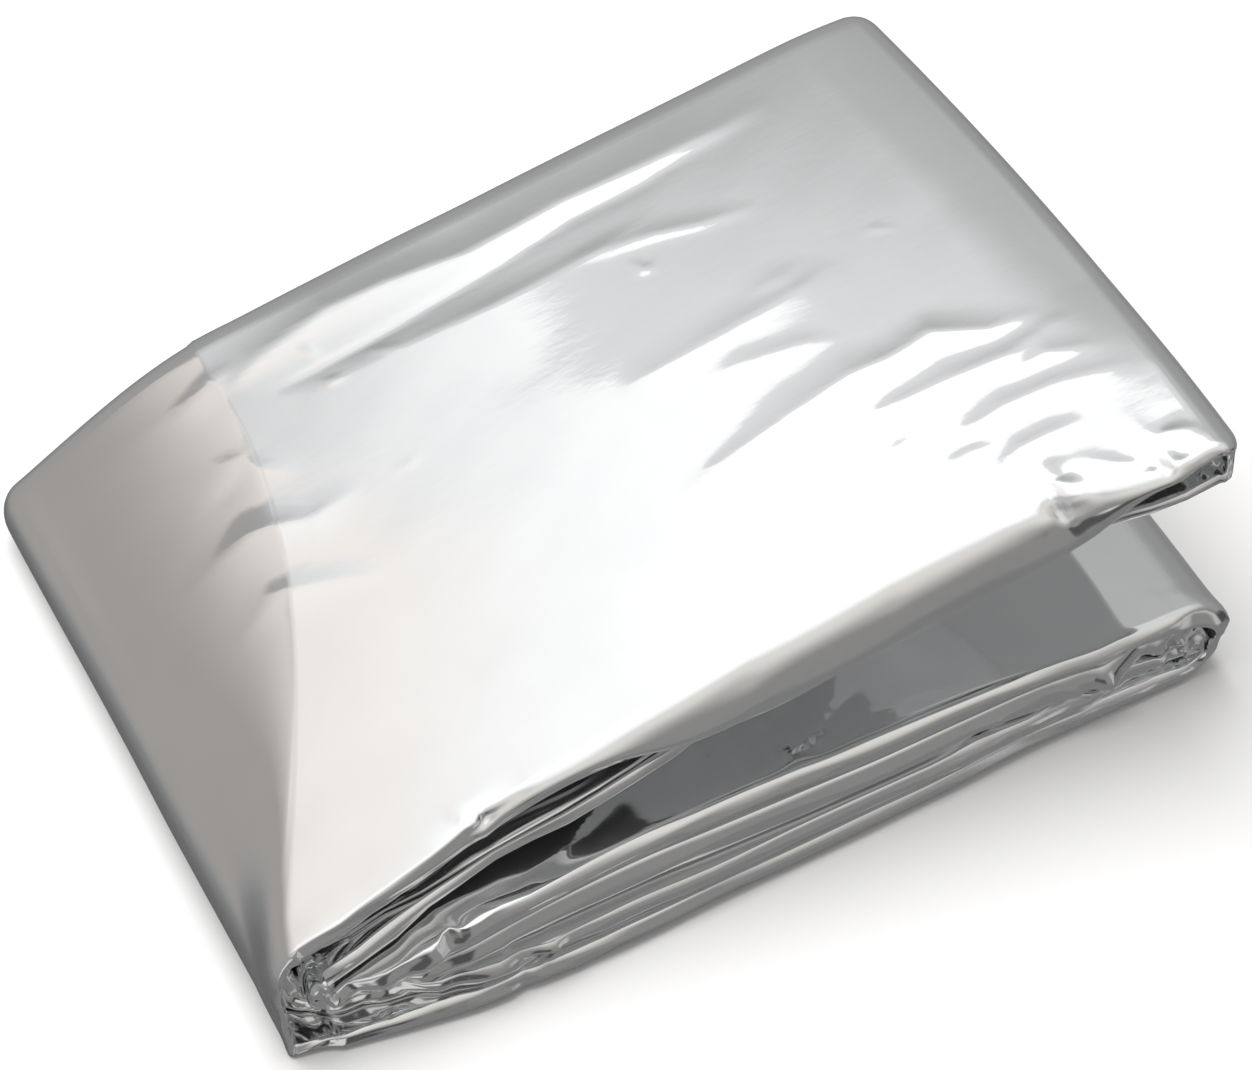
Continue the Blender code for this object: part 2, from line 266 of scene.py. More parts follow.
def pick(stretches, place):
    """Take each point's coordinates from the stretch that its place lies on."""
    step = np.clip(np.floor(place), 0, len(stretches) - 1)
    on_stretch = [step == k for k in range(len(stretches))]
    return [np.select(on_stretch, coordinate) for coordinate in zip(*stretches)]


def mixed(first, second, share):
    """Mix two skin points, each given as x, z and the way in."""
    return [a + (b - a) * share for a, b in zip(first, second)]


def crowned(first, second, share, turn):
    """Go from one skin point to the next on a bulge that starts out flatter by a turn."""
    x, z, in_x, in_z = mixed(first, second, share)
    chord = np.hypot(second[0] - first[0], second[1] - first[1])
    rise = turn * chord * share * (1.0 - share) ** SLOPE_FADE
    return [x - in_x * rise, z - in_z * rise, in_x, in_z]


def leaf_underside(x, end_below, y):
    """Height of the lifted leaf's underside."""
    return end_below[1] - (end_below[0] - x) * across(TOP_SLOPE, y)


def flat_leaf_top(x, height, end_below, y):
    """Top of the flat leaf, which bends down where the lifted leaf closes on it."""
    closing = 2.0 * (height + LEAVES_APART - leaf_underside(x, end_below, y)) / CLOSING
    z = height - CLOSING * np.logaddexp(0.0, closing) / 2.0
    bend = np.arctan(across(TOP_SLOPE, y) / (1.0 + np.exp(-closing)))
    return [x, z, np.sin(bend), -np.cos(bend)]


def round_gap_end(above, below, angle):
    """The tight turn at the gap's inner end, from its top, angle 0, to its bottom, pi."""
    middle_x, middle_z = (above[0] + below[0]) / 2.0, (above[1] + below[1]) / 2.0
    up_x, up_z = (above[0] - below[0]) / 2.0, (above[1] - below[1]) / 2.0
    out_x = up_x * np.cos(angle) - up_z * np.sin(angle)
    out_z = up_x * np.sin(angle) + up_z * np.cos(angle)
    radius = np.hypot(up_x, up_z)
    return [middle_x + out_x, middle_z + out_z, out_x / radius, out_z / radius]


def skin(run, y):
    """Outer skin of the packet at a run of the sheet: x, z and the way in."""
    upper_end = roller("upper end", y)
    crest = roller("crest", y)
    nose = roller("nose", y)
    lower_end = roller("lower end", y)

    top = math.pi + np.arctan(across(TOP_SLOPE, y))
    slope = belt_angle(crest, nose)
    floor = 2.0 * math.pi + 0.0 * y
    back_again = floor + math.pi

    end_below = on_roller(upper_end, top - math.pi)
    end_above = on_roller(upper_end, top)
    low_above = on_roller(lower_end, back_again)
    gap_end = across(GAP_END, y)
    gap_above = (gap_end, leaf_underside(gap_end, end_below, y)) + end_below[2:]
    gap_below = flat_leaf_top(gap_end, low_above[1], end_below, y)

    share = run - np.floor(run)
    low_x = low_above[0] + (gap_end - low_above[0]) * share
    crest_share = np.clip(share / CREST_TURNED, 0.0, 1.0)
    slope_share = np.clip((share - CREST_TURNED) / (NOSE_REACHED - CREST_TURNED), 0.0, 1.0)
    nose_share = np.clip((share - NOSE_REACHED) / (1.0 - NOSE_REACHED), 0.0, 1.0)
    crown = np.minimum(SLOPE_SHARE * (slope - top), SLOPE_MOST)
    over_crest = on_roller(crest, top + (slope - crown - top) * crest_share)
    round_nose = on_roller(nose, slope + (floor - slope) * nose_share)
    stretches = (
        round_gap_end(gap_above, gap_below, 0.5 * math.pi * (1.0 - share)),
        mixed(gap_above, end_below, share),
        on_roller(upper_end, top - math.pi + math.pi * share),
        mixed(end_above, on_roller(crest, top), share),
        crowned(over_crest, round_nose, slope_share, crown),
        mixed(on_roller(nose, floor), on_roller(lower_end, floor), share),
        on_roller(lower_end, floor + math.pi * share),
        flat_leaf_top(low_x, low_above[1], end_below, y),
        round_gap_end(gap_above, gap_below, math.pi - 0.5 * math.pi * share),
    )
    return pick(stretches, run)


def depth(name, run):
    """Depth of a layer under the skin, between its two sizes in DEPTHS."""
    lifted, flat = DEPTHS[name]
    return lifted + (flat - lifted) * along(BULK, run)


def hairpin(turn, line, shallow, deep, crown, split, wander):
    """A fold seen from its end: turn goes from the deep layer, 0, to the shallow, pi.

    line is the y of its foremost point, crown how far back its upper half begins, and
    wander turns its flutes, the fine lengthwise grooves that pressing leaves in a fold.
    """
    reach = np.where(turn < math.pi / 2, (deep - shallow) * 0.5, crown)
    middle = shallow + (deep - shallow) * split
    half = np.where(turn < math.pi / 2, deep - middle, middle - shallow)
    flute = FLUTE * np.sin(turn) * np.sin(FLUTES * turn + wander)
    return line + reach * (1.0 - np.sin(turn)) + flute, middle + half * np.cos(turn)


def section(place, run):
    """Where a place across the sheet lies: y, and the depth under the skin."""
    none = 0.0 * run
    first_deep = np.minimum(depth("first fold", run), along(FACE, run))
    face = along(FACE, run) * (1.0 - along(SLIT, run))
    second_high = first_deep + LAYER_GAP
    second_deep = depth("fourth layer", run)
    deepest = depth("fifth layer", run)
    crown = along(CROWN, run)
    roll = ROLL_CROWN[0] + (ROLL_CROWN[1] - ROLL_CROWN[0]) * along(BULK, run)
    first = along(FIRST, run)
    second = along(SECOND, run)
    back = WIDTH + along(BACK, run)
    roll_start = back - roll
    tucked = back - deepest * 0.5 - TUCKED
    inner = tucked - INNER_FOLD
    second_reach = (second_deep - second_high) * 0.5
    tear_end = first + face * 0.5
    tear_start = tear_end + TEAR

    share = place - np.floor(place)
    turn = math.pi * share
    wander = sum(size * np.sin(run * rate + start) for size, rate, start in FLUTE_WANDER)
    split = np.interp(face, FACE_RANGE, FACE_SPLIT)
    front_pin = hairpin(turn, first, none, face, crown, split, wander)
    second_pin = hairpin(turn, second, second_high, second_deep, SECOND_CROWN,
                         SECOND_SPLIT, wander + SECOND_WANDER)
    inner_reach = (second_high - first_deep) * 0.5
    skin_start = first + crown
    skin_by_fold = np.maximum(skin_start + SKIN_LEAST, SKIN_FRONT)
    skin_by_roll = roll_start - SKIN_BACK
    stretches = (
        (tucked + (second + second_reach - tucked) * share, second_deep),
        second_pin,
        (second + SECOND_CROWN + (inner - second - SECOND_CROWN) * share, second_high),
        (inner + inner_reach * np.sin(turn), first_deep + inner_reach * (1.0 + np.cos(turn))),
        (inner + (tear_start - inner) * share, first_deep),
        (tear_start + (tear_end - tear_start) * share,
         first_deep + (face - first_deep) * ease(share)),
        front_pin,
        (skin_start + (skin_by_fold - skin_start) * share, none),
        (skin_by_fold + (skin_by_roll - skin_by_fold) * share, none),
        (skin_by_roll + SKIN_BACK * share, none),
        (roll_start + roll * np.sin(turn), deepest * 0.5 * (1.0 - np.cos(turn))),
        (roll_start + (along(LOOSE, run) - roll_start) * share, deepest),
    )
    return pick(stretches, place)


def sample_places(starts, steps):
    """Places of all the rows or columns, with this many steps after each start."""
    joints = np.concatenate([[0], np.cumsum(steps)])
    places = np.interp(np.arange(joints[-1] + 1), joints, starts)
    return np.minimum(places, starts[-1] - TINY)


# Creases of the top, pressed by hand: each is a line of points with its height there (a
# trough is negative), and how wide it falls away to the front and to the back
X, Y, SIZES = range(3)     # a point's sizes are its height and these two widths
TOP_CREASES = (
    # the ridge along the back, and the trough before it
    ((28.0, 88.0, 0.00, 5.0, 5.0), (34.0, 91.5, 0.16, 7.0, 7.0), (46.0, 94.0, 0.26, 9.0, 8.0),
     (55.0, 93.4, 0.26, 8.0, 8.0), (66.4, 91.4, 0.22, 6.0, 9.0), (81.0, 92.2, 0.18, 4.4, 9.0),
     (93.0, 91.6, 0.15, 3.5, 9.0), (105.0, 91.2, 0.08, 3.0, 9.0), (114.0, 92.0, 0.00, 3.0, 8.0)),
    ((33.0, 84.6, 0.00, 2.0, 1.5), (39.0, 84.2, -0.06, 3.0, 2.0), (51.2, 84.8, -0.09, 3.4, 2.6),
     (67.5, 86.6, -0.09, 5.0, 2.4), (81.0, 88.7, -0.07, 5.0, 2.0), (92.0, 88.3, -0.05, 4.0, 2.0),
     (105.0, 90.6, 0.00, 3.0, 1.5)),
    ((36.0, 80.6, 0.00, 8.0, 3.0), (49.5, 81.1, 0.06, 12.0, 3.4), (64.5, 80.3, 0.14, 17.0, 4.2),
     (77.0, 80.6, 0.10, 15.0, 4.4), (85.0, 81.5, 0.04, 8.0, 4.0), (92.0, 83.0, 0.00, 5.0, 3.0)),
    # the wedges that run in from the right-hand side
    ((69.0, 34.5, 0.00, 4.0, 2.0), (76.0, 36.4, 0.09, 7.0, 3.0), (88.3, 38.5, 0.13, 9.0, 6.0),
     (97.0, 39.8, 0.14, 8.0, 6.0), (103.0, 39.2, 0.14, 6.5, 5.0), (109.0, 40.0, 0.15, 6.6, 5.0),
     (115.0, 35.8, 0.10, 3.6, 5.0), (122.5, 34.2, 0.00, 2.0, 3.0)),
    ((71.0, 54.9, 0.00, 5.0, 3.0), (76.0, 55.8, 0.07, 7.0, 5.0), (84.0, 56.3, 0.09, 8.0, 6.0),
     (99.4, 57.4, 0.07, 10.0, 5.0), (106.0, 58.5, 0.00, 6.0, 4.0)),
    ((95.0, 31.6, 0.00, 3.0, 2.0), (99.0, 31.9, 0.06, 5.0, 2.8), (106.8, 31.4, 0.08, 6.0, 4.0),
     (115.4, 30.4, 0.10, 6.0, 3.6), (122.4, 31.8, 0.04, 5.0, 3.0)),
    ((102.0, 21.4, 0.00, 3.0, 1.6), (105.0, 22.5, 0.06, 4.0, 2.4), (110.0, 23.2, 0.08, 5.0, 3.4),
     (116.6, 22.6, 0.07, 5.0, 3.4), (123.0, 20.8, 0.04, 4.0, 3.0), (128.0, 19.0, 0.00, 3.0, 2.0)),
    ((97.6, 18.2, 0.00, 2.0, 1.2), (100.0, 18.5, 0.06, 3.0, 2.4), (103.0, 18.8, 0.06, 3.0, 2.4),
     (106.0, 18.0, 0.00, 2.0, 1.4)),
    ((101.8, 12.0, 0.00, 2.0, 1.2), (104.5, 14.4, 0.07, 3.0, 2.2), (108.0, 15.7, 0.09, 4.0, 3.0),
     (112.4, 15.6, 0.08, 4.0, 3.0), (117.0, 15.0, 0.00, 3.0, 2.0)),
    ((91.5, 24.0, 0.00, 2.0, 1.0), (95.5, 25.0, 0.04, 3.0, 2.0), (101.0, 26.2, 0.00, 2.0, 1.2)),
    ((80.0, 50.5, 0.00, 5.0, 3.0), (87.0, 50.2, 0.06, 7.0, 4.0), (95.0, 48.6, 0.05, 6.0, 3.0),
     (99.5, 46.4, 0.00, 3.0, 2.0)),
    # fingers of the bright film that reach into the grey, and its own streak behind
    ((112.0, 27.0, 0.00, 2.0, 3.0), (119.0, 27.6, 0.08, 3.4, 4.0), (124.5, 25.0, 0.02, 2.4, 3.0)),
    ((92.0, 60.5, 0.00, 2.0, 3.0), (98.0, 60.8, 0.04, 3.0, 4.0), (103.0, 61.6, 0.00, 2.0, 3.0)),
    ((76.0, 81.0, 0.00, 3.0, 2.0), (82.0, 80.0, 0.05, 3.4, 4.0), (88.2, 78.8, 0.07, 3.0, 4.0),
     (94.6, 76.4, 0.06, 2.6, 4.0), (103.0, 74.6, 0.00, 2.0, 2.0)),
    # short pinches
    ((40.2, 90.4, 0.00, 0.8, 0.8), (41.0, 88.2, 0.07, 1.2, 1.2), (42.2, 86.2, 0.00, 0.8, 0.8)),
    ((39.6, 82.6, 0.00, 0.8, 0.8), (41.2, 81.2, 0.09, 1.2, 1.1), (43.6, 81.2, 0.00, 0.8, 0.8)),
    ((47.0, 83.6, 0.00, 0.7, 0.7), (49.0, 82.4, 0.05, 1.0, 0.9), (52.4, 81.0, 0.00, 0.7, 0.7)),
    ((83.6, 76.8, 0.00, 0.8, 0.8), (84.2, 74.4, 0.05, 1.2, 1.0), (85.6, 72.0, 0.00, 0.8, 0.8)),
    ((82.0, 73.6, 0.00, 0.8, 0.8), (84.6, 73.0, 0.04, 1.0, 1.2), (87.0, 74.4, 0.00, 0.8, 0.8)),
    ((110.8, 61.4, 0.00, 0.7, 0.7), (113.2, 60.6, 0.03, 1.0, 1.0), (115.6, 58.8, 0.00, 0.7, 0.7)),
    ((40.6, 61.6, 0.00, 0.7, 0.6), (43.4, 61.4, 0.04, 1.0, 0.8), (45.8, 62.6, 0.00, 0.7, 0.6)),
    # ridges that run out from the front right-hand corner
    ((125.4, 1.4, 0.00, 1.5, 1.5), (123.4, 5.0, 0.06, 3.0, 2.4), (121.4, 9.0, 0.03, 4.0, 3.6),
     (121.0, 14.0, 0.00, 4.0, 4.0)),
    ((122.0, 1.4, 0.00, 1.5, 1.5), (118.0, 4.4, 0.09, 3.0, 2.6), (113.6, 9.0, 0.05, 4.0, 3.0),
     (107.0, 12.0, 0.00, 3.0, 2.0)),
    ((111.4, 0.6, 0.10, 2.0, 2.0), (109.6, 4.4, 0.52, 2.6, 3.0), (108.4, 8.6, 0.16, 3.4, 3.0),
     (109.6, 12.4, 0.00, 3.0, 2.0)),
    ((109.6, 4.4, 0.30, 2.6, 2.2), (104.6, 5.4, 0.24, 3.2, 2.6), (98.0, 5.6, 0.10, 4.0, 2.4),
     (90.0, 5.0, 0.00, 4.0, 2.0)),
    ((109.6, 4.4, 0.20, 2.0, 2.0), (113.0, 2.4, 0.20, 2.0, 2.0), (117.0, 1.4, 0.00, 1.5, 1.5)),
    # the soft folds of the crest and of the slope below it
    ((12.0, 92.0, 0.00, 4.0, 4.0), (22.8, 89.5, 0.20, 6.0, 6.0), (28.9, 92.0, 0.08, 4.0, 4.0),
     (33.0, 92.0, 0.00, 3.0, 3.0)),
    ((10.0, 61.0, 0.00, 5.0, 5.0), (21.5, 63.5, 0.30, 8.0, 5.5), (28.5, 60.5, 0.12, 6.0, 5.0),
     (37.0, 62.0, 0.00, 4.0, 4.0)),
    ((12.0, 47.0, 0.00, 4.0, 4.0), (19.7, 52.0, 0.14, 7.0, 5.0), (27.5, 49.0, 0.06, 6.0, 5.0),
     (33.0, 46.0, 0.00, 4.0, 4.0)),
    ((14.0, 82.0, 0.00, 4.0, 4.0), (24.0, 76.0, 0.12, 6.0, 5.0), (31.0, 69.0, 0.00, 4.0, 4.0)),
    ((16.0, 70.0, 0.00, 4.0, 4.0), (22.0, 72.0, -0.10, 5.0, 5.0), (29.0, 77.0, 0.00, 4.0, 4.0)),
)
END_SAG = (0.02, 0.50)     # the top sags by this much at its right-hand end,
END_SAG_Y = (18.0, 36.0)   # at these y,
END_SAG_WIDTH = 12.0       # over this width
TOP_LENGTH = 125.0         # from the right-hand end to the crest
TOP_RUN = 3.0              # the run along which the top lies

# Creases of the flat leaf's top, which shows in the gap, with the same columns
GAP_CREASES = (
    ((67.0, 0.5, 0.00, 2.0, 2.0), (70.5, 3.8, 0.42, 2.4, 3.4), (74.5, 7.0, 0.42, 2.6, 4.0),
     (80.0, 11.5, 0.30, 3.0, 4.0), (84.0, 17.0, 0.00, 3.0, 4.0)),
    ((62.0, 1.5, 0.00, 2.0, 2.0), (66.6, 5.2, -0.22, 2.2, 2.6), (70.0, 11.0, -0.14, 2.6, 3.0),
     (72.0, 16.0, 0.00, 2.6, 3.0)),
    ((79.0, 4.8, 0.00, 1.4, 1.2), (83.0, 4.2, 0.10, 1.6, 1.6), (87.0, 5.6, 0.09, 1.6, 1.6),
     (90.5, 4.6, 0.10, 1.6, 1.4), (95.0, 4.6, 0.00, 1.4, 1.2)),
    ((29.0, 0.5, 0.00, 2.0, 2.0), (38.0, 4.2, 0.34, 2.4, 3.4), (46.0, 9.0, 0.24, 3.0, 3.4),
     (52.0, 14.0, 0.00, 3.0, 3.0)),
)


def from_line(x, y, line):
    """Distance of each x, y from a crease, signed + behind it, and the crease's own sizes."""
    nearest = np.full(x.shape, FAR)
    signed = np.zeros(x.shape)
    sizes = np.zeros(x.shape + (3,))
    for start, end in zip(line[:-1], line[1:]):
        dx, dy = end[X] - start[X], end[Y] - start[Y]
        share = ((x - start[X]) * dx + (y - start[Y]) * dy) / (dx * dx + dy * dy)
        share = np.clip(share, 0.0, 1.0)
        away_x, away_y = x - start[X] - share * dx, y - start[Y] - share * dy
        distance = np.hypot(away_x, away_y)
        behind = np.sign((away_y * dx - away_x * dy) * np.sign(dx + TINY))
        here = start[SIZES:] + (end[SIZES:] - start[SIZES:]) * share[..., None]
        closer = distance < nearest
        nearest = np.where(closer, distance, nearest)
        signed = np.where(closer, distance * behind, signed)
        sizes = np.where(closer[..., None], here, sizes)
    return signed, np.moveaxis(sizes, -1, 0)


def crease_height(x, y, creases):
    """Height that a table of creases adds to the skin: sharp at the line, soft beside it."""
    lift = np.zeros(x.shape)
    for line in creases:
        distance, (height, to_front, to_back) = from_line(x, y, np.array(line))
        width = np.where(distance > 0.0, to_back, to_front)
        lift += height * (1.0 - np.clip(np.abs(distance) / width, 0.0, 1.0)) ** 2
    return lift


# Slow unevenness of the film, which is never quite flat: the size of its swells along and
# across, their height, and the turn of their long side
SWELLS = (
    # along across height turn
    (44.0, 17.0, 0.045, 0.35),
    (17.0, 6.0, 0.014, 0.45),
    (8.0, 3.4, 0.005, 0.5),
)
SPINE_SWELLS = (
    (26.0, 18.0, 0.16, 1.2),
    (12.0, 9.0, 0.05, 0.9),
)
GAP_SWELLS = (
    (24.0, 13.0, 0.20, -0.5),
    (9.0, 6.0, 0.06, 0.4),
)
LATTICE = 64               # random heights each way, before they repeat
SWELL_SEED = 12

# Where creases and swells are pressed in: they grow from the first number on, over the
# second, and fade away up to the third, over the fourth
OUTSIDE = (6.5, 1.0, 11.0, 0.5)    # places across the sheet
SPINE_RUNS = (4.1, 0.4, 5.1, 0.3)  # runs along it
UNDERSIDE_RUNS = (1.05, 0.1, 2.0, 0.1)
FLAT_TOP_RUNS = (7.05, 0.1, 8.0, 0.1)
TOP_GROWS = (2.8, 0.3)     # those of the top grow from here on, over this run, and the
CREASES_FADE = (4.25, 0.3) # creases fade like that; the swells go on up to their end
SWELLS_END = 4.6
SAG_GROWS = (2.3, 0.7)     # the sag of the top's end grows from here on, over this run


def swells(u, v, table):
    """Heights of smooth random swells on a plane with the coordinates u and v."""
    total = np.zeros(u.shape)
    draws = np.random.default_rng(SWELL_SEED)
    for long_side, short_side, height, turn in table:
        lattice = draws.uniform(-1.0, 1.0, (LATTICE, LATTICE))
        a = (u * math.cos(turn) + v * math.sin(turn)) / long_side + LATTICE / 2
        b = (v * math.cos(turn) - u * math.sin(turn)) / short_side + LATTICE / 2
        column, row = np.floor(a).astype(int), np.floor(b).astype(int)
        weights_a, weights_b = spline_weights(a - column), spline_weights(b - row)
        for i in range(4):
            for j in range(4):
                corner = lattice[(row + j - 1) % LATTICE, (column + i - 1) % LATTICE]
                total += height * 2.0 * corner * weights_a[i] * weights_b[j]
    return total


def spline_weights(t):
    """Weights of the four nearest lattice lines in a smooth spline."""
    return ((1.0 - t) ** 3 / 6.0, (3.0 * t ** 3 - 6.0 * t * t + 4.0) / 6.0,
            (3.0 * (t + t * t - t ** 3) + 1.0) / 6.0, t ** 3 / 6.0)


def within(place, bounds):
    """Go softly from 0 to 1 where the bounds begin, and back to 0 where they end."""
    start, growth, end, fading = bounds
    return ease((place - start) / growth) * ease((end - place) / fading)


def unevenness(run, place, x, y, z):
    """Height that creases and swells add to the outside of the packet."""
    round_packet = x + z
    top_start, top_growth = TOP_GROWS
    crease_end, crease_fading = CREASES_FADE
    sag_start, sag_growth = SAG_GROWS
    on_top = ease((run - top_start) / top_growth) * (run < SWELLS_END)
    uncreased = ease((run - crease_end) / crease_fading)
    on_flat_leaf = within(run, FLAT_TOP_RUNS)
    in_gap = on_flat_leaf + within(run, UNDERSIDE_RUNS)
    lift = crease_height(x, y, TOP_CREASES) * on_top * (1.0 - uncreased)
    lift += swells(round_packet, y, SWELLS) * on_top
    sag = (1.0 - np.clip((run - TOP_RUN) * TOP_LENGTH / END_SAG_WIDTH, 0.0, 1.0)) ** 2
    lift -= np.interp(y, END_SAG_Y, END_SAG) * sag * ease((run - sag_start) / sag_growth)
    lift += swells(round_packet, y, SPINE_SWELLS) * within(run, SPINE_RUNS)
    lift += swells(x, y, GAP_SWELLS) * in_gap
    lift += crease_height(x, y, GAP_CREASES) * on_flat_leaf
    return lift * within(place, OUTSIDE)


# Crushed places: centre, reach and depth in millimetres.  Film creases there in flat
# facets, because it can't stretch.
CRUSHED = (
    #  x      y     z    reach  depth
    (3.0, -3.0, 8.0, 11.0, 2.0),
    (12.0, -3.0, 7.0, 12.0, 1.9),
    (20.0, -1.0, 13.0, 8.0, 1.6),
    (26.0, -4.0, 4.0, 8.0, 0.9),
    (128.0, 1.0, 8.0, 10.0, 2.2),
    (114.0, -0.5, 7.0, 9.0, 1.4),
    (123.0, 1.5, 38.5, 8.0, 1.4),
    (130.4, 2.0, 39.5, 6.0, 1.4),
)
FACETS = (
    # size of the facets in millimetres, and the way they move the film
    (6.4, (0.2, 0.9, 0.1)),
    (3.8, (0.05, 0.22, 0.1)),
)
FACET_FIELD = 28.0         # they fill a cube this wide round the crushed place
FACET_SEED = 5
CALM = 5.0                 # the film is calmer below this height, as it rests on the table


def facets(points, middle, size, draws):
    """Heights in flat facets with sharp creases between them, from about -1 to 1.

    The squared distance to the nearest of some points is a set of parabolas; the
    difference of two such sets is flat wherever both nearest points stay the same.
    """
    side = round(FACET_FIELD / size)
    squares = []
    for _ in range(2):
        nearest = np.full(points.shape[:-1], FAR)
        for seed in draws.uniform(-0.5, 0.5, (side ** 3, 3)):
            away = np.sum((points - middle - seed * side * size) ** 2, axis=-1)
            nearest = np.minimum(nearest, away)
        squares.append(nearest)
    return (squares[1] - squares[0]) / size ** 2


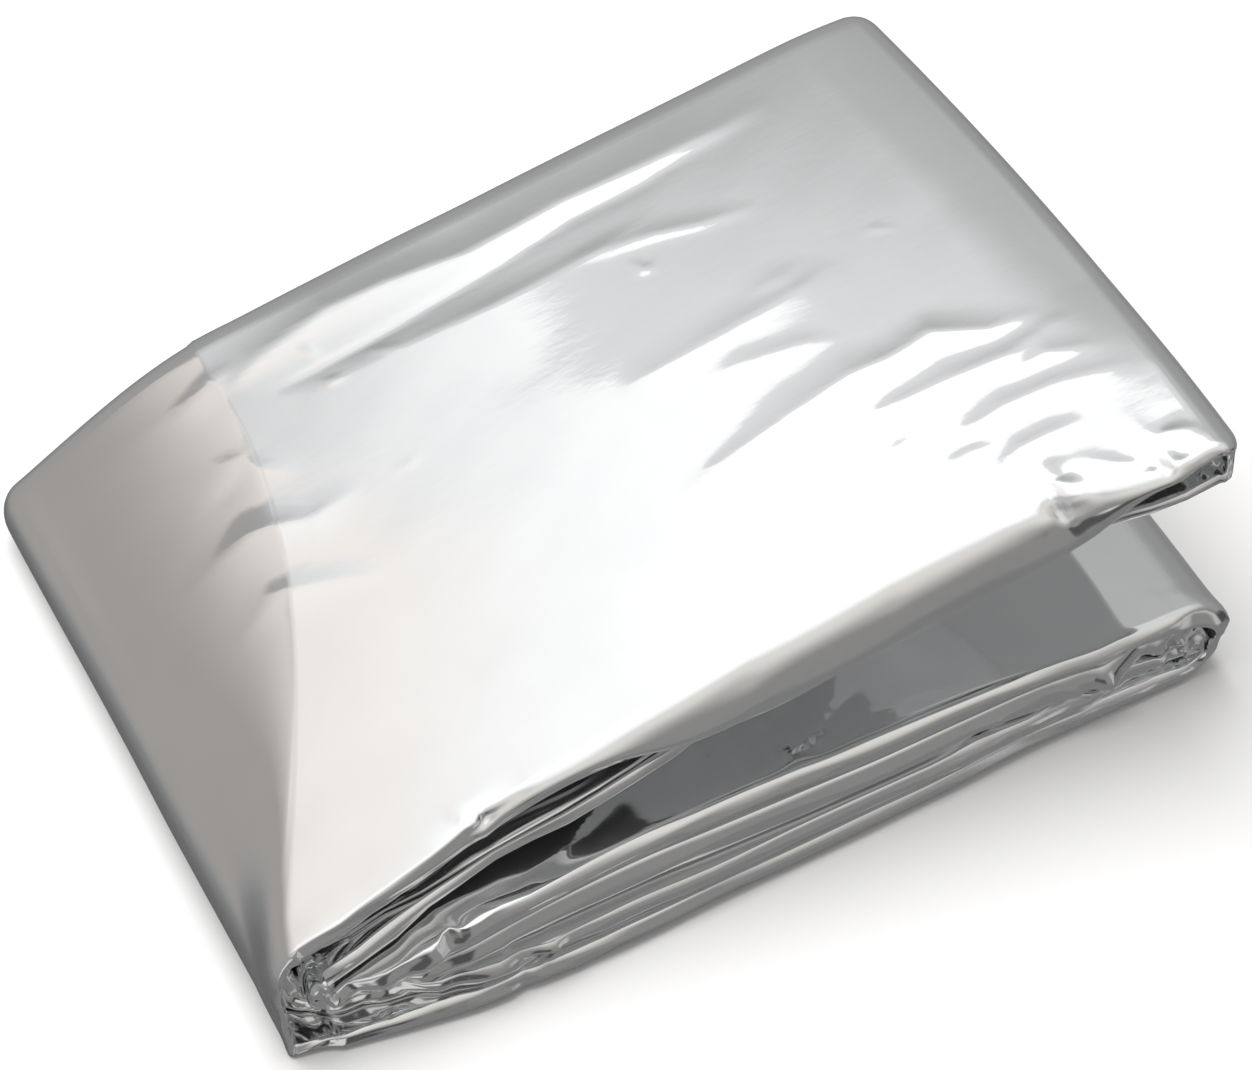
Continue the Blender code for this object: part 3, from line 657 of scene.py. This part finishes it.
# Pinches of the folds, where the film buckles: from a sharp point creases run out and
# fade away.  The point, and then each crease: its end, its width there, and its push at
# the point.
PINCH_DEPTH = 4.0          # a pinch goes this deep through the layers under the film
PINCH_START = 0.5          # width at the point, as a share of that at the end
PINCHES = (
    # nose
    ((18.7, -2.5, 11.9), (
        ((13.4, -2.5, 18.3), 4.4, (0.0, 1.26, 0.27)),
        ((17.7, -2.5, 19.5), 4.0, (0.18, -0.9, 0.18)),
        ((7.4, -2.5, 20.0), 5.0, (0.0, 1.26, -0.27)),
        ((29.8, -2.5, 12.6), 4.6, (0.0, 1.08, 0.18)),
        ((5.0, -2.5, 16.2), 5.0, (0.0, -0.81, 0.18)),
    )),
    ((10.4, -3.5, 5.0), (
        ((0.6, -3.5, 13.8), 4.6, (0.14, 1.05, 0.14)),
        ((0.8, -3.5, 10.2), 4.6, (0.0, -0.63, 0.14)),
        ((11.8, -3.5, 9.4), 3.8, (0.21, 0.84, 0.0)),
        ((23.4, -3.5, 5.1), 4.6, (0.0, 0.91, 0.14)),
        ((4.6, -3.5, 3.0), 4.4, (0.14, 0.77, -0.14)),
    )),
    ((5.4, -4.0, 4.6), (
        ((3.1, -4.0, 9.0), 3.6, (0.1, -0.5, 0.0)),
        ((1.5, -4.0, 5.7), 4.0, (0.0, 0.6, 0.1)),
    )),
    ((-1.1, -3.0, 10.2), (
        ((4.1, -3.0, 1.3), 5.0, (-0.1, 0.8, 0.1)),
        ((-1.1, -3.0, 15.6), 4.0, (-0.2, 0.5, 0.0)),
    )),
    ((0.0, -2.5, 17.2), (
        ((-0.9, -2.5, 11.2), 4.0, (-0.18, 0.72, 0.0)),
        ((6.2, -2.5, 17.3), 4.4, (0.0, 0.66, 0.18)),
        ((2.2, -2.5, 21.6), 4.0, (0.12, -0.54, 0.12)),
    )),
    # front edge of the lifted leaf
    ((26.4, 2.5, 22.9), (
        ((20.1, 2.5, 19.7), 4.4, (0.14, 0.84, -0.35)),
        ((28.4, 2.5, 18.4), 3.4, (0.28, -0.7, 0.21)),
        ((33.5, 2.5, 24.9), 3.8, (0.14, 0.7, -0.28)),
    )),
    ((30.9, 3.0, 16.1), (
        ((24.1, 3.0, 15.7), 3.8, (0.0, 1.0, 0.3)),
        ((36.3, 3.0, 17.3), 3.6, (0.0, 0.8, 0.3)),
    )),
    ((106.0, 2.4, 39.1), (
        ((104.7, 2.4, 45.9), 4.1, (0.14, 0.41, -0.41)),
        ((100.3, 2.4, 39.6), 4.1, (0.09, -0.32, 0.32)),
        ((112.8, 2.4, 39.9), 4.0, (0.09, 0.41, -0.32)),
        ((108.1, 2.4, 33.2), 3.6, (0.14, 0.5, 0.0)),
        ((96.8, 2.4, 36.0), 4.5, (0.0, 0.41, -0.14)),
    )),
    ((83.5, 2.4, 33.1), (
        ((75.8, 2.4, 31.9), 3.6, (0.0, 0.21, -0.03)),
        ((91.2, 2.4, 34.2), 3.6, (0.0, 0.18, 0.03)),
    )),
    ((63.3, 2.4, 29.1), (
        ((55.1, 2.4, 27.5), 3.6, (0.0, 0.21, -0.03)),
        ((71.0, 2.4, 29.8), 3.6, (0.0, 0.18, 0.03)),
    )),
    # open end of the lifted leaf
    ((120.1, 1.6, 41.8), (
        ((118.0, 1.6, 45.2), 3.0, (0.1, 0.4, -0.4)),
        ((115.5, 1.6, 42.1), 3.6, (0.0, 0.45, -0.2)),
        ((123.6, 1.6, 43.3), 3.6, (0.1, -0.35, 0.3)),
    )),
    ((126.1, 1.6, 40.5), (
        ((122.4, 1.6, 39.4), 3.6, (0.14, 0.77, 0.14)),
        ((129.2, 1.6, 41.9), 3.4, (-0.28, 0.63, 0.21)),
        ((128.0, 1.6, 36.5), 3.4, (-0.21, -0.56, 0.14)),
    )),
    # folds of the flat leaf
    ((27.3, -4.5, 1.9), (
        ((18.8, -4.5, 3.6), 4.2, (0.09, 0.54, 0.0)),
        ((24.3, -4.5, 6.7), 3.0, (0.09, -0.45, 0.14)),
        ((34.4, -4.5, 1.5), 4.2, (0.0, 0.45, 0.09)),
        ((28.3, -4.5, 5.1), 3.2, (0.14, 0.59, 0.0)),
    )),
    ((30.5, -3.5, 4.2), (
        ((24.5, -3.5, 6.6), 4.0, (0.2, 1.2, 0.2)),
        ((32.2, -3.5, 7.5), 3.6, (0.2, -1.0, 0.2)),
        ((38.6, -3.5, 5.0), 4.2, (0.0, 1.0, 0.2)),
    )),
    ((95.2, -0.8, 7.2), (
        ((89.3, -0.8, 6.8), 3.8, (0.0, 1.1, 0.2)),
        ((98.1, -0.8, 8.6), 3.2, (0.2, -0.8, 0.2)),
        ((102.1, -0.8, 6.6), 3.8, (0.0, 0.9, 0.2)),
    )),
    ((109.9, -0.6, 6.3), (
        ((103.7, -0.6, 6.7), 4.0, (0.0, 1.2, -0.2)),
        ((112.7, -0.6, 8.3), 3.6, (0.2, 1.2, 0.2)),
        ((106.6, -0.6, 11.4), 3.8, (0.2, -0.9, 0.2)),
    )),
    ((116.4, -0.6, 6.1), (
        ((112.5, -0.6, 10.7), 3.4, (0.2, -1.0, 0.2)),
        ((120.5, -0.6, 3.2), 3.6, (0.2, 1.2, 0.0)),
        ((114.5, -0.6, 3.9), 3.6, (0.0, 1.1, 0.0)),
    )),
    ((121.4, -0.4, 6.1), (
        ((118.4, -0.4, 10.8), 3.6, (0.2, 1.2, 0.2)),
        ((125.0, -0.4, 5.8), 3.6, (0.2, -1.0, 0.0)),
        ((123.1, -0.4, 1.3), 3.6, (0.2, 1.1, -0.2)),
    )),
    # open end of the flat leaf
    ((126.9, 0.6, 8.6), (
        ((123.9, 0.6, 7.4), 3.8, (0.2, 1.4, 0.0)),
        ((124.0, 0.6, 13.4), 3.8, (0.2, -1.1, 0.2)),
        ((129.7, 0.6, 10.7), 3.8, (0.3, 1.3, 0.3)),
        ((130.3, 0.6, 4.6), 3.6, (-0.4, 1.3, -0.2)),
        ((132.6, 0.6, 6.6), 3.4, (-0.5, -0.8, 0.0)),
    )),
    # corners that stand out, and the notch at the flat leaf's end
    ((-1.2, -2.2, 2.2), (
        ((-1.2, 7.0, 2.6), 7.0, (-1.4, 0.4, -2.4)),
    )),
    ((133.6, 0.4, 9.6), (
        ((133.0, 3.0, 14.0), 8.0, (1.2, -0.3, 0.0)),
    )),
    ((133.8, 0.4, 5.4), (
        ((131.0, 1.0, 4.4), 3.0, (-1.4, 0.5, 0.0)),
    )),
    # film beside the gap
    ((68.2, 8.7, 13.2), (
        ((76.0, 10.6, 13.2), 5.0, (0.0, 0.1, -0.35)),
        ((62.0, 11.0, 13.2), 5.0, (0.0, 0.1, 0.3)),
    )),
    ((70.6, 3.6, 13.2), (
        ((68.0, 9.0, 13.2), 4.6, (0.0, 0.1, 0.35)),
        ((77.6, 5.0, 13.2), 4.6, (0.0, 0.1, -0.3)),
    )),
    ((58.0, 8.0, 13.2), (
        ((50.0, 6.0, 13.2), 5.0, (0.0, 0.1, -0.3)),
    )),
)


def crush(points):
    """Buckle the film at the pinches, and move that of the crushed places in facets."""
    moved = np.zeros(points.shape)
    pinches = [(point, *crease) for point, creases in PINCHES for crease in creases]
    for point, end, width, push in pinches:
        through = np.array(push) / np.linalg.norm(push)
        offset = points - point
        behind = offset @ through
        offset = offset - behind[..., None] * through
        crease = np.subtract(end, point)
        crease = crease - (crease @ through) * through
        share = np.clip(offset @ crease / (crease @ crease), 0.0, 1.0)
        away = np.linalg.norm(offset - share[..., None] * crease, axis=-1)
        width_here = width * (PINCH_START + (1.0 - PINCH_START) * share)
        away = np.clip(away / width_here, 0.0, 1.0)
        near = 1.0 - ease((np.abs(behind) - PINCH_DEPTH) / PINCH_DEPTH)
        moved += (near * (1.0 - share) * (1.0 - away) ** 2)[..., None] * push
    draws = np.random.default_rng(FACET_SEED)
    for x, y, z, reach, size in CRUSHED:
        distance = np.linalg.norm(points - (x, y, z), axis=-1)
        near = distance < reach
        strength = size * (1.0 - ease(distance[near] / reach)) * ease(points[near, 2] / CALM)
        for facet, push in FACETS:
            height = facets(points[near], (x, y, z), facet, draws) * strength
            moved[near] += height[:, None] * push
    return points + moved


TABLE_GAP = 0.02           # the film lies at least this high above the table


def fold_sheet(name, low_corner):
    """Make the sheet as one grid of faces, folded into the packet."""
    starts, steps = zip(*ROW_STEPS)
    run = sample_places(starts, steps[:-1])[:, None]
    place = sample_places(range(len(SECTION) + 1), list(SECTION.values()))[None, :]
    run, place = np.broadcast_arrays(run, place)
    y, inset = section(place, run)
    x, z, in_x, in_z = skin(run, y)
    lift = unevenness(run, place, x, y, z)
    x = x + in_x * (inset - lift)
    z = z + in_z * (inset - lift)
    points = crush(np.stack([x, y, z], axis=-1))
    points[..., 2] = np.maximum(points[..., 2], TABLE_GAP)

    rows, columns = run.shape
    x, y, z = low_corner
    origin = (x / MM + SPINE_BULGE, y / MM + FRONT_BULGE, z / MM)
    verts = (points.reshape(-1, 3) + origin) * MM
    corner = (np.arange(rows - 1)[:, None] * columns + np.arange(columns - 1)).ravel()
    faces = np.stack([corner, corner + 1, corner + columns + 1, corner + columns], axis=1)
    mesh = bpy.data.meshes.new(name)
    mesh.from_pydata(verts.tolist(), [], faces.tolist())
    mesh.shade_smooth()
    piece = bpy.data.objects.new(name, mesh)
    bpy.context.scene.collection.objects.link(piece)
    return piece


def linear(code):
    """Turn an sRGB hex colour to the linear one that Blender's sockets take."""
    parts = [int(code[k:k + 2], 16) / 255.0 for k in (1, 3, 5)]
    return tuple(p / 12.92 if p <= 0.04045 else ((p + 0.055) / 1.055) ** 2.4
                 for p in parts) + (1.0,)


MIX_FACTOR, MIX_FIRST, MIX_SECOND, MIX_RESULT = 0, 6, 7, 2    # a mix node's colour sockets


def add_node(tree, kind, sockets=(), give=0, **settings):
    """Add a node, fill its sockets with values or links, and give one of its outputs."""
    node = tree.nodes.new(kind)
    for key, value in settings.items():
        setattr(node, key, value)
    pairs = sockets.items() if isinstance(sockets, dict) else enumerate(sockets)
    for key, value in pairs:
        if isinstance(value, bpy.types.NodeSocket):
            tree.links.new(value, node.inputs[key])
        elif value is not None:
            node.inputs[key].default_value = value
    return node.outputs[give]


METALLIC = 0.95            # the coat is so thin that a little of the film's own gloss shows
HAZE_PATCH = 14.0          # size in millimetres of the patches where the coat is duller
HAZE_RANGE = (0.35, 0.7)   # the noise between which they go from clear to dull,
HAZE = (0.028, 0.055)      # and the roughness of both
DRAWN_WAY = 0.4            # angle at which the film was drawn: its ripples lie along it,
DRAWN = (1.0, 2.6, 1.6)    # and are this many times finer across it
RIPPLE = 4.5               # length of the ripples in millimetres, and their height
RIPPLE_HEIGHT = 0.0035
FINE_RIPPLE = 1.1          # the finest ripples that still show, and their height
FINE_HEIGHT = 0.0006


def vapour_coated_film():
    """Polyester film with a vapour coat of aluminium: a mirror, so the eye sees the room
    in it, softened by a faint haze of the coat and wavering with the film's ripples,
    which are only thousandths of a millimetre high."""
    material = bpy.data.materials.new("vapour coated polyester film")
    material.use_nodes = True
    tree = material.node_tree
    shader = tree.nodes["Principled BSDF"]
    where = add_node(tree, "ShaderNodeTexCoord", give="Object")
    in_mm = add_node(tree, "ShaderNodeVectorMath", {"Vector": where, "Scale": 1.0 / MM},
                     operation="SCALE")
    haze = add_node(tree, "ShaderNodeTexNoise",
                    {"Vector": in_mm, "Scale": 1.0 / HAZE_PATCH, "Detail": 3.0})
    tint = add_node(tree, "ShaderNodeMix", {MIX_FACTOR: haze, MIX_FIRST: linear("#f1f2f2"),
                                            MIX_SECOND: linear("#e9eaeb")},
                    give=MIX_RESULT, data_type="RGBA")
    dull = add_node(tree, "ShaderNodeMapRange", (haze, *HAZE_RANGE, *HAZE))
    drawn = add_node(tree, "ShaderNodeMapping",
                     {"Vector": in_mm, "Rotation": (0.0, 0.0, DRAWN_WAY), "Scale": DRAWN})
    ripple = add_node(tree, "ShaderNodeTexNoise",
                      {"Vector": drawn, "Scale": 1.0 / RIPPLE, "Detail": 2.0})
    fine = add_node(tree, "ShaderNodeTexNoise",
                    {"Vector": in_mm, "Scale": 1.0 / FINE_RIPPLE, "Detail": 1.0})
    rippled = add_node(tree, "ShaderNodeBump",
                       {"Height": ripple, "Distance": RIPPLE_HEIGHT * MM})
    rippled = add_node(tree, "ShaderNodeBump",
                       {"Height": fine, "Distance": FINE_HEIGHT * MM, "Normal": rippled})
    tree.links.new(tint, shader.inputs["Base Color"])
    tree.links.new(dull, shader.inputs["Roughness"])
    tree.links.new(rippled, shader.inputs["Normal"])
    shader.inputs["Metallic"].default_value = METALLIC
    return material


low_corner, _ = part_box("foil_blanket")
blanket = fold_sheet("blanket_film", low_corner)
blanket.data.materials.append(vapour_coated_film())
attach(blanket, "root")
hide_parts("foil_blanket")

# ------------------------------------------------------------------------------------
# The floor: a table top of matt white laminate, which gives the eye a white ground
# without any shine.  The film doesn't mirror it, so that the light below the horizon
# stays as even as in the studio.
# ------------------------------------------------------------------------------------
FLOOR_SIZE = 6.0           # metres
FLOOR_GAP = 0.0001         # metres of air under the packet
bpy.ops.mesh.primitive_plane_add(size=FLOOR_SIZE, location=(0.0, 0.0, low_corner.z - FLOOR_GAP))
floor = bpy.context.object
floor.name = "floor"
floor.visible_glossy = False
laminate = bpy.data.materials.new("matt white laminate")
laminate.use_nodes = True
matt = laminate.node_tree.nodes["Principled BSDF"]
matt.inputs["Base Color"].default_value = linear("#f4f4f4")
matt.inputs["Roughness"].default_value = 0.8
floor.data.materials.append(laminate)

# ------------------------------------------------------------------------------------
# The light: a grey studio with a large soft box overhead and pale screens around it.
# ------------------------------------------------------------------------------------
SKY = (
    # height of the direction above the floor, -1 to 1, and brightness
    (-1.00, 0.10), (-0.55, 0.14), (-0.10, 0.26), (0.20, 0.31), (0.50, 0.33), (0.62, 0.38),
    (0.72, 0.51), (1.00, 0.51),
)
SCREENS = (
    # azimuth from +y to +x, height and turn in degrees, then the reach and softness of its
    # left, right, lower and upper edges, colour and power; later ones stand before earlier
    ("front wall", 170, 20, 0, (1.6, 0.8, 1.6, 0.8, 0.8, 0.4, 1.2, 0.5), "#fffdfa", 0.25),
    ("left window", 217, 6, 0, (0.36, 0.08, 0.28, 0.08, 0.3, 0.12, 0.36, 0.12), "#fffdfa", 0.72),
    ("dark doorway", 112, -10, 0, (0.34, 0.1, 0.3, 0.1, 0.5, 0.15, 0.3, 0.15), "#ffffff", 0.05),
    ("right window", 139, 0, 0, (0.14, 0.08, 0.12, 0.08, 0.5, 0.15, 0.6, 0.15), "#ffffff", 0.5),
    ("window post", 187, 0, 0, (0.14, 0.08, 0.16, 0.08, 0.6, 0.15, 0.6, 0.15), "#ffffff", 0.06),
    ("front floor", 170, -50, 0, (1.6, 0.8, 1.6, 0.8, 1.0, 0.5, 0.6, 0.3), "#ffffff", 0.2),
    ("back floor", 42, -32, 0, (0.6, 0.3, 0.6, 0.3, 0.4, 0.2, 0.4, 0.2), "#ffffff", 0.26),
    ("left wall", -38, 22, 0, (0.7, 0.4, 0.35, 0.3, 0.5, 0.3, 0.35, 0.2), "#fff9f3", 0.34),
    ("box surround", 2, 65, 35, (0.3, 0.2, 0.6, 0.3, 0.34, 0.06, 0.4, 0.25), "#fdfeff", 0.81),
    ("front glow", 160, 66, 0, (0.8, 0.4, 0.45, 0.4, 0.05, 0.6, 0.5, 0.2), "#fffaf4", 0.84),
    ("warm wall", 2, 65, 35, (0.54, 0.44, -0.18, 0.05, 0.225, 0.02, 0.4, 0.2), "#fff6ee", 0.92),
    ("soft box", 2, 65, 35, (0.2, 0.1, 0.28, 0.12, 0.277, 0.006, 0.33, 0.2), "#ffffff", 1.2),
)
GRAZING = 0.05             # a screen is seen only this far, as a cosine, from its middle

world = bpy.data.worlds.new("grey studio")
bpy.context.scene.world = world
world.use_nodes = True
tree = world.node_tree
background = tree.nodes["Background"]
way = add_node(tree, "ShaderNodeTexCoord", give="Generated")
height = add_node(tree, "ShaderNodeSeparateXYZ", (way,), give="Z")
share = add_node(tree, "ShaderNodeMapRange", (height, -1.0, 1.0))
ramp = tree.nodes.new("ShaderNodeValToRGB")
while len(ramp.color_ramp.elements) < len(SKY):
    ramp.color_ramp.elements.new(0.5)
for element, (where, bright) in zip(ramp.color_ramp.elements, SKY):
    element.position = (where + 1.0) / 2.0
    element.color = (bright, bright, bright, 1.0)
tree.links.new(share, ramp.inputs[0])
glow = ramp.outputs["Color"]
for name, azimuth, elevation, turn, edges, colour, power in SCREENS:
    a, e, t = (math.radians(v) for v in (azimuth, elevation, turn))
    ahead = np.array([math.sin(a) * math.cos(e), math.cos(a) * math.cos(e), math.sin(e)])
    side = np.array([math.cos(a), -math.sin(a), 0.0])
    rise = np.cross(side, ahead)
    side, rise = side * math.cos(t) + rise * math.sin(t), rise * math.cos(t) - side * math.sin(t)
    facing = add_node(tree, "ShaderNodeVectorMath", (way, tuple(ahead)), give="Value",
                      operation="DOT_PRODUCT")
    cover = add_node(tree, "ShaderNodeMath", (facing, GRAZING), operation="GREATER_THAN")
    for axis, reach, soft in zip((-side, side, -rise, rise), edges[::2], edges[1::2]):
        offset = add_node(tree, "ShaderNodeVectorMath", (way, tuple(axis)), give="Value",
                          operation="DOT_PRODUCT")
        offset = add_node(tree, "ShaderNodeMath", (offset, facing), operation="DIVIDE")
        edge = add_node(tree, "ShaderNodeMapRange", (offset, reach + soft, reach - soft),
                        interpolation_type="SMOOTHSTEP")
        cover = add_node(tree, "ShaderNodeMath", (cover, edge), operation="MULTIPLY")
    shine = tuple(c * power for c in linear(colour)[:3]) + (1.0,)
    glow = add_node(tree, "ShaderNodeMix", {MIX_FACTOR: cover, MIX_FIRST: glow,
                                            MIX_SECOND: shine},
                    give=MIX_RESULT, data_type="RGBA")
tree.links.new(glow, background.inputs["Color"])

# A wide lamp lights the table alone: the film doesn't mirror it.
lamp_data = bpy.data.lights.new("table lamp", "AREA")
lamp_data.size = 1.6
lamp_data.energy = 30.0
lamp = bpy.data.objects.new("table lamp", lamp_data)
lamp.location = (-0.3, 0.5, 1.6)
lamp.rotation_euler = (-0.3, -0.18, 0.0)
lamp.visible_glossy = False
bpy.context.scene.collection.objects.link(lamp)

# ------------------------------------------------------------------------------------
# The camera: a long lens, as far off and as high as in the photograph.
# ------------------------------------------------------------------------------------
AZIMUTH, ELEVATION = -27.322, 45.042    # degrees
DISTANCE = 0.4728                       # metres
TARGET = (0.0087, 0.0109, 0.0)
camera_data = bpy.data.cameras.new("camera")
camera_data.lens = 97.8
camera_data.sensor_width = 36.0
camera = bpy.data.objects.new("camera", camera_data)
a, e = math.radians(AZIMUTH), math.radians(ELEVATION)
back_way = (math.sin(a) * math.cos(e), -math.cos(a) * math.cos(e), math.sin(e))
camera.location = [t + DISTANCE * b for t, b in zip(TARGET, back_way)]
camera.rotation_euler = (math.pi / 2 - e, 0.0, a)
bpy.context.scene.collection.objects.link(camera)
bpy.context.scene.camera = camera
bpy.context.scene.view_settings.view_transform = "Standard"
